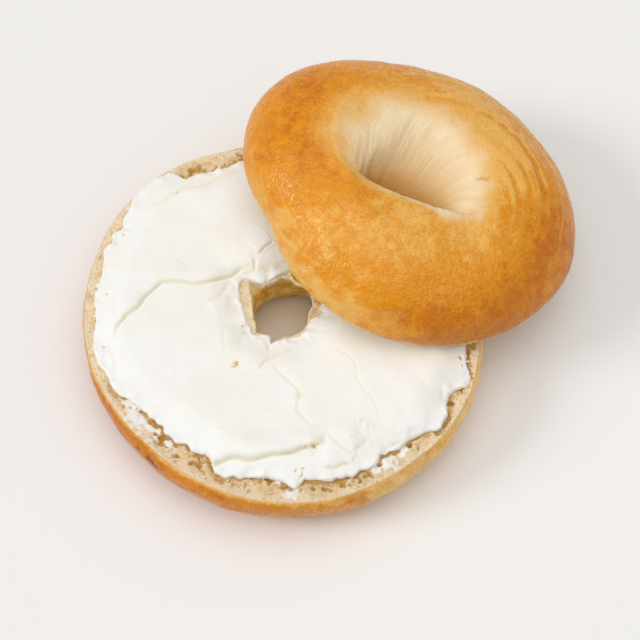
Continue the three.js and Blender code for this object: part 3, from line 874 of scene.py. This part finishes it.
def cheeseMaterial():
    c = spread["finish"]
    material, tree, shader = newMaterial("cheeseFinish")
    place = placeOn(tree)
    patches = ranged(tree, noise(tree, place, 16.0, detail=2.0), 0.4, 0.65)
    body = mixColour(tree, patches, c["colour"], c["warm"])
    marked = layered(tree, body, [("creaseShade", 1.0, c["creaseShade"]), ("pit", 1.0, c["pit"])])
    feed(tree, marked, shader.inputs["Base Color"])
    feed(tree, ranged(tree, noise(tree, place, 5.0), 0.3, 0.7, 0.34, 0.5), shader.inputs["Roughness"])
    shader.inputs["Subsurface Weight"].default_value = c["softness"]
    shader.inputs["Subsurface Radius"].default_value = c["softReach"]
    shader.inputs["Subsurface Scale"].default_value = c["softScale"]
    shader.inputs["Specular IOR Level"].default_value = c["gloss"]
    bumped(tree, noise(tree, place, 1.6, detail=3.0), c["bump"], shader)
    return material


upperBread = {
    "radius": 42.9,
    "waves": [(2, 0.074, -35.5), (3, 0.023, 21.5), (4, 0.016, -30), (5, 0.006, -5.5)],
    "dent": {"at": 197.5, "depth": 1.7, "spread": 13.3},
    "height": 17.3,
    "crownLean": 0.065,
    "crownHighSide": 228,
    "belly": 0.8,
    "bellyHeight": 3.0,
    "crownAt": 0.5,
    "fullness": 1.8,
    "dimpleTurn": -20,
    # from the crown down: share of the height, shift along the slit, line between its two sides,
    # reach of the near side, its roundness, reach of the far side, half the length
    "dimpleLevels": [
        (0.975, 0.3, -2.5, 10.7, 0.85, 19.0, 18.8), (0.93, 0.3, -5.5, 4.9, 0.8, 19.5, 16.2),
        (0.86, 0.0, -7.0, 2.3, 0.8, 17.5, 14.0), (0.72, -0.9, -7.5, 1.5, 0.8, 12.2, 11.9),
        (0.55, -1.8, -7.9, 1.1, 0.8, 6.4, 10.2), (0.4, -2.1, -8.1, 1.1, 0.8, 3.1, 9.2),
        (0.2, -1.8, -8.3, 1.3, 0.8, 1.9, 8.7), (0.0, -1.8, -8.5, 1.5, 0.8, 1.6, 8.2)],
    "lipLean": 0.07,
    "place": (31.4, 29.7, 22.0),
    "tilt": 9.0,
    "turns": 900,
    # the pale zone round the dimple: cream within the first radii, crust outside the second,
    # both every 30 degrees round its centre
    "paleCentre": (0, 3),
    "creamRadii": [11.6, 10.4, 10.6, 11.4, 12.4, 13.6, 13.6, 13.0, 13.0, 13.0, 17.5, 15.0],
    "crustRadii": [25.0, 25.4, 25.6, 26.0, 29.0, 31.8, 31.0, 25.6, 21.6, 20.0, 24.5, 25.6],
    "nearPale": -11.3,  # how far across from the slit the pale skin reaches on the near side
    "wrinkles": 0.15,
    "wrinkleRound": 24.0,  # the larger, the finer they run
    "twist": -2.7,  # how far the wrinkles turn by the twist radius, radians
    "twistRadius": 35.0,
    "creases": [  # [points, depth, width]
        [[(11.5, 14), (16, 14.7), (22.6, 16.2), (25.2, 16.4), (28, 16.5), (33.6, 15.1)], 0.25, 0.7],
        [[(-26.6, -20.6), (-28, -22.5), (-29.6, -24.7)], 0.2, 0.6],
        [[(-1, -24.7), (2, -21), (4.7, -17.7)], 0.12, 0.5]],
    "folds": [  # at the slit's left end, [points, depth, width]
        [[(-15.2, -3.4), (-14.6, -1.1), (-14.1, 2.6), (-13.6, 5.7), (-13.1, 11.3)], 0.7, 0.6],
        [[(-16.4, -1.5), (-16.2, 2), (-15.8, 6.5), (-16.2, 11)], 0.3, 0.5],
        [[(-12.6, -1.5), (-12.0, 2), (-10.6, 6), (-9.5, 10.5)], 0.3, 0.5],
        [[(-10, -3), (-8.6, 1), (-6.5, 5.5)], 0.25, 0.5]],
    "markReach": 4.0,  # how far from its line a crease or fold fades
    "palePatches": [(-35, -13.6, 5), (-27, -27.6, 3.5)],  # (x, y, reach)
    "toneAndLightSpots": [  # where the crust is browner or paler: partly its own browning, partly painted sheen on the near slope and painted shade round the edges, (x, y, reach, amount)
        (-4, -27, 13, -0.26), (12, -20, 12, -0.26), (-18, -17, 11, -0.14), (-6, -16, 8, -0.15),
        (0, -40, 13, 0.38), (22, -36, 13, 0.28), (38, -10, 10, 0.2), (-30, 22, 14, 0.3),
        (-6, 36, 12, 0.02), (16, 30, 12, -0.1), (26, 8, 12, -0.16), (-38, -2, 12, 0.22),
        (-28, 3, 5, 0.2), (-23, -5, 5, 0.25), (-16, -10.5, 4.5, 0.25), (-9.5, -13.5, 3.5, 0.15),
        (-31, 12, 6, 0.1)],
    "spots": [(12.4, -30.6, 1.1), (17.4, -0.9, 0.9), (16.2, -0.5, 0.8), (15.2, -0.7, 0.6),
              (-6.5, -24.9, 0.7)],
    "sideBrownAndShade": [  # how brown the lower crust is round the bread, partly its own browning and partly painted shade on the side away from the light, (azimuth in degrees, share)
        (-150, 0.0), (-100, 0.2), (-60, 0.75), (-25, 1), (10, 1), (40, 0.6), (80, 0.1), (150, 0)],
    # uneven surfaces, each layer (height, size, seed)
    "skinLumps": [(0.35, 14.0, 75), (0.13, 5.0, 76), (0.035, 1.3, 77)],
    "innerWrinkles": [(0.6, 0.9, 73), (0.9, 2.1, 74)],
    "outerWrinkles": [(1.1, 4.4, 27), (0.6, 2.2, 28)],
    "paleLumps": [(1.5, 6.0, 71), (0.6, 1.8, 72)],
    "edgeLumps": [(0.25, 3.0, 78), (0.15, 1.0, 79)],
    "finish": {
        "light": screenColour(244, 183, 86),
        "middle": screenColour(230, 147, 14),
        "deep": screenColour(206, 114, 0),
        "golden": screenColour(238, 178, 84),
        "cream": screenColour(251, 229, 188),
        # the dimple colour: browner deep in the dimple and in its folds, partly its own browning and partly
        # painted shade
        "dimple": screenColour(197, 135, 0),
        "rim": screenColour(248, 208, 118),
        "spot": screenColour(208, 134, 20),
        "crumbLight": screenColour(246, 224, 184),
        "crumbDeep": screenColour(222, 182, 124),
        "browning": 0.42,
        "browningBy": [("toneAndLight", 1.0), ("sideBrownAndShade", 0.3), ("streak", -0.9), ("wrinkle", -0.25)],
        "contrast": 0.75,
        "cloudSize": 15.0,
        "crumbRougher": 0.4,
        "bump": 0.36,
        "gloss": 0.3,
    },
}


def upperEdge(angles):
    dent = upperBread["dent"]
    outline = wavyRadius(angles, upperBread["radius"], upperBread["waves"])
    return outline - dent["depth"] * bump(angles, dent["at"], dent["spread"])


def dimpleRing(turned, level):
    # one level of the dimple's wall: blunt along the near side and round along the far side
    share, shift, middle, near, roundness, far, length = level
    along = np.cos(turned)
    across = np.sin(turned)
    nearShare = np.maximum(-across, 0)
    x = shift + length * along
    blunt = upperBread["lipLean"] * x * nearShare ** 0.5 - near * nearShare ** roundness
    y = middle + np.where(across < 0, blunt, far * across)
    lean = math.radians(upperBread["dimpleTurn"])
    return np.stack([x * math.cos(lean) - y * math.sin(lean),
                     x * math.sin(lean) + y * math.cos(lean), 0 * x + share], axis=-1)


def smoothRows(rings, steps):
    # rings joined by a smooth curve from each to the next, (turns, rings, 3) to (turns, more, 3)
    last = rings.shape[1] - 1
    made = []
    for i in range(last):
        four = [rings[:, min(max(i + step, 0), last)] for step in (-1, 0, 1, 2)]
        for t in np.arange(steps) / steps:
            made.append(curveBetween(*four, t))
    made.append(rings[:, -1])
    return np.stack(made, axis=1)


def pressedLines(x, y, lines, profile):
    # strength and depth of marks along lines, each [points, depth, width]
    strength = np.zeros(x.shape)
    depth = np.zeros(x.shape)
    for points, deep, width in lines:
        near, away, share = nearLine(x, y, points, upperBread["markReach"])
        mark = profile(away / width, share)
        strength[near] = np.maximum(strength[near], mark)
        depth[near] += deep * mark
    return strength, depth


def creaseProfile(away, share):
    return np.exp(-away ** 2) * tapered(share, 0.3)


def foldProfile(away, share):
    # wide and deep where it starts, thinner and fainter along its way
    return np.exp(-(away / (1.4 - 0.8 * share)) ** 2) * (1 - share) * smooth(share / 0.1)


def upperShape(angles, edge, height):
    # the smooth upper half, and where the side and the dome start in each of its loops
    v = upperBread
    crown = v["crownAt"] * edge
    across, up = quarterRound(v["fullness"], np.linspace(0, 1, 46))
    domeHeights = v["bellyHeight"] + (height - v["bellyHeight"]) * up
    dome = loopAt(angles, crown + (edge - crown) * across, domeHeights)
    rise = np.linspace(0, 1, 8)[:-1]
    side = loopAt(angles, edge - v["belly"] * (1 - rise) ** 2, v["bellyHeight"] * rise[None])
    turned = angles - math.radians(v["dimpleTurn"])
    upright = np.hstack([np.ones((len(angles), 2)), height])
    rings = np.stack([dimpleRing(turned, level) * upright for level in v["dimpleLevels"]], axis=1)
    # the crown and the dome just outside it lead the curve into the dimple
    rings = np.concatenate([dome[:, -5:-4], dome[:, -1:], rings], axis=1)
    steps = 5
    dimple = smoothRows(rings, steps)[:, steps + 1:]
    # cut face, from the foot of the dimple out to the side
    shares = np.linspace(0, 1, 12)[None, 1:-1, None]
    cutFace = dimple[:, -1:] + (side[:, :1] - dimple[:, -1:]) * shares
    rows = np.concatenate([cutFace, side, dome, dimple], axis=1)
    return rows, cutFace.shape[1], cutFace.shape[1] + side.shape[1]


def wrinkleLumps(angles, rows, radius):
    # wrinkles that start in the dimple, turn as they run outwards, and fade on the crust
    v = upperBread
    swung = angles[:, None] - v["twist"] * (np.minimum(radius, 42) / v["twistRadius"]) ** 3
    lines = np.stack([v["wrinkleRound"] * np.cos(swung), v["wrinkleRound"] * np.sin(swung),
                      0.11 * radius + 0.09 * rows[..., 2]], axis=-1)
    wrinkle = lumpSum(lines, v["innerWrinkles"])
    wrinkle *= np.clip(0.6 + 0.9 * lumps(rows, 6.0, 70), 0.15, 1.5)
    return wrinkle + (lumpSum(lines, v["outerWrinkles"]) - wrinkle) * smooth((radius - 15) / 8)


def paleZone(x, y, ragged):
    # how pale the skin round the dimple is, the distance from the zone's centre and to the crust
    v = upperBread
    centreX, centreY = v["paleCentre"]
    fromPale = np.hypot(x - centreX, y - centreY)
    around = np.arctan2(y - centreY, x - centreX)
    cream = roundTable(v["creamRadii"], around)
    golden = roundTable(v["crustRadii"], around)
    # on the near side the zone ends along the slit instead
    slit = math.radians(v["dimpleTurn"])
    alongSlit = x * math.cos(slit) + y * math.sin(slit)
    acrossSlit = y * math.cos(slit) - x * math.sin(slit)
    nearLimit = v["nearPale"] + 0.022 * np.minimum(alongSlit + 5, 0) ** 2
    nearLimit -= 0.5 * np.maximum(alongSlit - 7, 0)
    nearBlend = 3.4 + 0.5 * np.maximum(-alongSlit - 6, 0)
    pale = np.minimum((golden - fromPale + ragged) / (golden - cream),
                      0.5 + (acrossSlit - nearLimit + 0.4 * ragged) / nearBlend)
    return np.clip(pale, 0, 1), fromPale, golden - fromPale


def buildUpperBread():
    v = upperBread
    angles = np.linspace(0, fullTurn, v["turns"], endpoint=False)
    edge = upperEdge(angles)[:, None]
    height = v["height"] * (1 + v["crownLean"] * np.cos(angles - math.radians(v["crownHighSide"])))
    height = height[:, None]
    rows, cutCount, domeStart = upperShape(angles, edge, height)
    onCut = loopPart(rows, 0, cutCount)
    onSkin = 1 - onCut
    x, y, z = np.moveaxis(rows, -1, 0)
    radius = np.hypot(x, y)
    normal = outward(rows)
    high = z > 2.0 * v["bellyHeight"]
    wrinkle = wrinkleLumps(angles, rows, radius)
    wrinkleMask = onSkin * np.clip(0.4 + 0.9 * wrinkle, 0, 1)
    ragged = lumpSum(rows, v["paleLumps"]) + 0.9 * wrinkle
    pale, fromPale, toCrust = paleZone(x, y, ragged)
    nearDimple = fromPale < 20
    inDimple = smooth(toCrust / 6) * onSkin
    farRight = bump(angles, 35, 50)[:, None] * smooth((radius - 12) / 10) * high
    relief = onSkin * lumpSum(rows, v["skinLumps"]) * smooth(z / 2 + 0.25)
    relief += v["wrinkles"] * np.maximum(0.6 * inDimple, farRight) * wrinkle
    creaseMark, creaseDepth = pressedLines(x, y, v["creases"], creaseProfile)
    foldMark, foldDepth = pressedLines(x, y, v["folds"], foldProfile)
    relief -= (creaseDepth + foldDepth) * high
    rows = rows + normal * relief[..., None]
    # the lower edge of the crust is a little ragged
    atEdge = smooth(1 - z / 2.5) * loopPart(rows, cutCount - 1, domeStart + 8)
    outwards = np.stack([np.cos(angles), np.sin(angles)], axis=-1)[:, None, :]
    rows[..., :2] += outwards * (atEdge * lumpSum(rows, v["edgeLumps"]))[..., None]
    # where each look shows
    # browner and paler spots: the crust's own browning, painted sheen and painted shade together
    toneAndLight = sum(amount * np.exp(-((x - px) ** 2 + (y - py) ** 2) / reach ** 2)
                for px, py, reach, amount in v["toneAndLightSpots"])
    underRim = bump(angles, 222, 42)[:, None] * smooth(1 - (z + 2.0 * ragged - 5) / 5)
    underRim *= smooth(0.8 + 0.9 * lumps(rows, 3.5, 80))
    paleMark = np.maximum(np.maximum(0.5 * creaseMark * high, underRim),
                          0.6 * spotMask(x, y, v["palePatches"], 0.5 * ragged))
    sideBrownAndShade = roundRun(v["sideBrownAndShade"], angles)[:, None] * smooth((fromPale - 20) / 18)
    masks = {
        "crumb": onCut,
        "pale": onSkin * pale * (high | nearDimple),
        "deepInBrownAndShade": onSkin * smooth(1.5 * (1.03 - z / height)) * nearDimple,
        "foldShade": onSkin * foldMark * high,
        "streak": wrinkleMask * farRight,
        "wrinkle": wrinkleMask * inDimple,
        "toneAndLight": onSkin * toneAndLight,
        "sideBrownAndShade": onSkin * sideBrownAndShade,
        "cutRim": onSkin * smooth(1.2 - (z + 0.4 * ragged) / 2.0) * ~nearDimple,
        "paleMark": onSkin * paleMark,
        "spot": onSkin * spotMask(x, y, v["spots"], 0.25 * ragged),
    }
    lean = np.array(Matrix.Rotation(math.radians(v["tilt"]), 3, "Y"))
    rows = rows @ lean.T + np.array(v["place"])
    piece = ringMesh("upper_bread", rows + axisPlace, masks)
    piece.data.materials.append(upperBreadMaterial())
    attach(piece, "root")
    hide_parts("top_half")
    print("upper half built,", rows.shape[1], "points a loop")


def upperBreadMaterial():
    c = upperBread["finish"]
    material, tree, shader = newMaterial("upperBreadFinish")
    browning = c["browning"]
    for name, share in c["browningBy"]:
        browning = combine(tree, "ADD", browning, mask(tree, name, share))
    crust = crustNodes(tree, c, browning)
    pale = mask(tree, "pale")
    # deep in the dimple the colour darkens, partly browning and partly painted shade; in the folds it is
    # painted shade
    cream = layered(tree, c["cream"], [
        ("deepInBrownAndShade", 1.0, c["dimple"]), ("wrinkle", 0.17, c["dimple"]), ("foldShade", 0.5, c["dimple"])])
    skin = mixColour(tree, ranged(tree, pale, 0.0, 0.6), crust["Color"], c["golden"])
    skin = mixColour(tree, ranged(tree, pale, 0.3, 1.0), skin, cream)
    outside = layered(tree, skin, [
        ("paleMark", 0.6, c["rim"]), ("cutRim", 1.0, c["rim"]), ("spot", 0.5, c["spot"])])
    crumb = useGroup(tree, openCrumb, {
        "Light": c["crumbLight"], "Deep": c["crumbDeep"], "Pore": c["crumbDeep"], "Pore Size": 0.9})
    relief = dressBread(tree, shader, c, crust, crumb, outside, crumb["Color"])
    # the pale skin is smoother than the brown crust
    calm = ranged(tree, pale, 0.0, 1.0, 1.0, 0.35)
    bumped(tree, combine(tree, "MULTIPLY", relief, calm), c["bump"], shader)
    return material


crumbBits = {
    "specks": [  # on the cheese, (x, y, length, width, turn in degrees)
        (-12.5, -17.2, 2.0, 1.2, 25), (-11.0, -5.5, 0.8, 0.5, 60), (-46.5, 3.0, 0.6, 0.4, 90),
        (-36.5, -29.0, 0.7, 0.5, 40), (5.0, -44.5, 0.7, 0.5, 0), (-30.0, 33.5, 0.6, 0.5, 50)],
    "curl": [(0.9, 10.6, 17.4), (1.1, 9.4, 17.3), (2.0, 8.1, 17.0), (3.3, 7.3, 16.8), (4.7, 7.3, 16.5),
             (5.8, 8.0, 16.2)],
    "curlRadius": 0.5,
    "pale": screenColour(252, 232, 176),
    "deep": screenColour(232, 198, 112),
}

cheeseBits = {
    "count": 22,
    "smallest": 0.12,
    "largest": 0.3,
    "spread": 0.7,  # how far from the edge of the cheese they lie
}


def lumpBall(place, size, seed):
    # one small uneven lump, as points shaped (around, up, 3)
    around = np.linspace(0, fullTurn, 8, endpoint=False)[:, None]
    up = np.linspace(-0.96, 0.96, 6)[None, :]
    level = np.sqrt(1 - up ** 2)
    ball = np.stack([np.cos(around) * level, np.sin(around) * level, up + 0 * around], axis=-1)
    ball *= 1 + 0.5 * lumps(ball + seed, 0.9, seed)[..., None]
    return ball * size + place


def bitsMesh(name, balls):
    # many small lumps as one mesh of closed shells
    around, up = balls[0].shape[:2]
    index = np.arange(around * up).reshape(around, up)
    ahead = np.roll(index, -1, axis=0)
    sides = np.stack([index[:, :-1], ahead[:, :-1], ahead[:, 1:], index[:, 1:]], axis=-1).reshape(-1, 4)
    faces = []
    for i in range(len(balls)):
        start = i * around * up
        faces += (sides + start).tolist()
        faces.append((index[::-1, 0] + start).tolist())
        faces.append((index[:, -1] + start).tolist())
    points = np.concatenate([ball.reshape(-1, 3) for ball in balls])
    return meshPiece(name, points + axisPlace, faces, {})


def topHeight(piece, x, y):
    # height of a piece's upper side near a point, in millimetres
    points = np.empty(3 * len(piece.data.vertices), dtype=np.float32)
    piece.data.vertices.foreach_get("co", points)
    points = points.reshape(-1, 3) / millimetre - axisPlace
    away = np.hypot(points[:, 0] - x, points[:, 1] - y)
    return points[away < away.min() + 0.6, 2].max()


def bitsMaterial(name, pale, deep):
    material, tree, shader = newMaterial(name)
    patches = ranged(tree, noise(tree, placeOn(tree), 0.8), 0.35, 0.65)
    feed(tree, mixColour(tree, patches, deep, pale), shader.inputs["Base Color"])
    shader.inputs["Roughness"].default_value = 0.6
    return material


def buildCrumbBits(cheese):
    v = crumbBits
    balls = []
    for i, (x, y, length, width, turn) in enumerate(v["specks"]):
        place = np.array([x, y, topHeight(cheese, x, y) + 0.1 * width])
        lying = np.array([length / 2, width / 2, 0.3 * width])
        spin = np.array(Matrix.Rotation(math.radians(turn), 3, "Z"))
        balls.append((lumpBall(0, 1, i + 11) * lying) @ spin.T + place)
    for i, place in enumerate(smoothLine(v["curl"], 8)):
        balls.append(lumpBall(place, v["curlRadius"], 40))
    piece = bitsMesh("crumb_flecks", balls)
    piece.data.materials.append(bitsMaterial("crumbFleckFinish", v["pale"], v["deep"]))
    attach(piece, "root")
    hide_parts("bottom_half")
    print("crumbs placed,", len(v["specks"]))


def buildCheeseBits():
    v = cheeseBits
    rng = np.random.default_rng(21)
    azimuths = np.radians(rng.uniform(100, 345, v["count"]))
    away = rng.exponential(v["spread"], v["count"])
    radii = np.minimum(cheeseEdge(azimuths) + away, lowerEdge(azimuths) - 0.6)
    sizes = v["smallest"] + (v["largest"] - v["smallest"]) * rng.uniform(0, 1, v["count"]) ** 2.5
    balls = []
    for i in range(v["count"]):
        place = np.array([radii[i] * math.cos(azimuths[i]), radii[i] * math.sin(azimuths[i]),
                          lowerBread["cutHeight"] + 0.3 * sizes[i]])
        stretch = np.array([rng.uniform(0.8, 1.9), rng.uniform(0.8, 1.6), 0.5])
        balls.append(lumpBall(place, sizes[i] * stretch, i + 60))
    piece = bitsMesh("cheese_flecks", balls)
    c = spread["finish"]
    piece.data.materials.append(bitsMaterial("cheeseFleckFinish", c["colour"], c["warm"]))
    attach(piece, "root")
    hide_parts("cream_cheese")
    print("cheese crumbs placed,", v["count"])


studio = {
    "floorColour": screenColour(243, 241, 239),
    "floorHalf": 1.5,  # half the floor's width, metres
    "skyLow": 0.34,  # light from the horizon
    "skyRise": 1.90,  # how much more comes from straight above
    "skyNarrow": 6.5,  # how closely that gathers overhead
    "skyRight": 0.09,  # how much more comes from the right, and less from the left
    "skyBack": 0.05,  # how much less comes from the back
    "keyStrength": 1.15,
    "keyWidth": 22.0,  # how wide the key light looks, degrees
    "keyFrom": (-0.80, -0.12, 0.52),
}

viewer = {
    "place": (8.82, -180.27, 359.59),  # from the lower half's axis
    "tipped": 27.35,  # degrees up from straight down
    "rolled": 0.93,
    "lens": 84.375,
}


def buildFloor():
    half = studio["floorHalf"]
    corners = [(-half, -half, 0), (half, -half, 0), (half, half, 0), (-half, half, 0)]
    mesh = bpy.data.meshes.new("floor")
    mesh.from_pydata(corners, [], [(0, 1, 2, 3)])
    floor = bpy.data.objects.new("floor", mesh)
    bpy.context.scene.collection.objects.link(floor)
    material, _, shader = newMaterial("floorFinish")
    shader.inputs["Base Color"].default_value = studio["floorColour"]
    shader.inputs["Roughness"].default_value = 0.6
    floor.data.materials.append(material)


def addSoftLight(name, comesFrom, strength, width):
    # a far, wide light, even over the whole floor
    data = bpy.data.lights.new(name, "SUN")
    data.energy = strength
    data.angle = math.radians(width)
    light = bpy.data.objects.new(name, data)
    light.rotation_mode = "QUATERNION"
    light.rotation_quaternion = (-Vector(comesFrom)).to_track_quat("-Z", "Y")
    bpy.context.scene.collection.objects.link(light)


def buildLights():
    world = bpy.data.worlds.new("studio")
    bpy.context.scene.world = world
    world.use_nodes = True
    tree = world.node_tree
    background = tree.nodes["Background"]
    background.inputs["Color"].default_value = (1.0, 1.0, 1.0, 1.0)
    towards = addNode(tree, "ShaderNodeTexCoord").outputs["Generated"]
    parts = addNode(tree, "ShaderNodeSeparateXYZ", {"Vector": towards}).outputs
    above = combine(tree, "POWER", combine(tree, "MAXIMUM", parts["Z"], 0.0), studio["skyNarrow"])
    above = combine(tree, "MULTIPLY", above, studio["skyRise"])
    right = combine(tree, "MULTIPLY", parts["X"], studio["skyRight"])
    back = combine(tree, "MULTIPLY", combine(tree, "MAXIMUM", parts["Y"], 0.0), studio["skyBack"])
    sky = combine(tree, "ADD", combine(tree, "ADD", above, right), studio["skyLow"])
    feed(tree, combine(tree, "SUBTRACT", sky, back), background.inputs["Strength"])
    addSoftLight("key", studio["keyFrom"], studio["keyStrength"], studio["keyWidth"])
    bpy.context.scene.view_settings.view_transform = "Standard"


def buildCamera():
    data = bpy.data.cameras.new("camera")
    data.lens = viewer["lens"]
    data.clip_end = 10
    camera = bpy.data.objects.new("camera", data)
    tip = Matrix.Rotation(math.radians(viewer["tipped"]), 4, "X")
    roll = Matrix.Rotation(math.radians(viewer["rolled"]), 4, "Z")
    place = (np.array(viewer["place"]) + axisPlace) * millimetre
    camera.matrix_world = Matrix.Translation(place.tolist()) @ tip @ roll
    bpy.context.scene.collection.objects.link(camera)
    bpy.context.scene.camera = camera


buildLowerBread()
cheese = buildCheese()
buildUpperBread()
buildCrumbBits(cheese)
buildCheeseBits()
buildFloor()
buildLights()
buildCamera()
print("studio set")
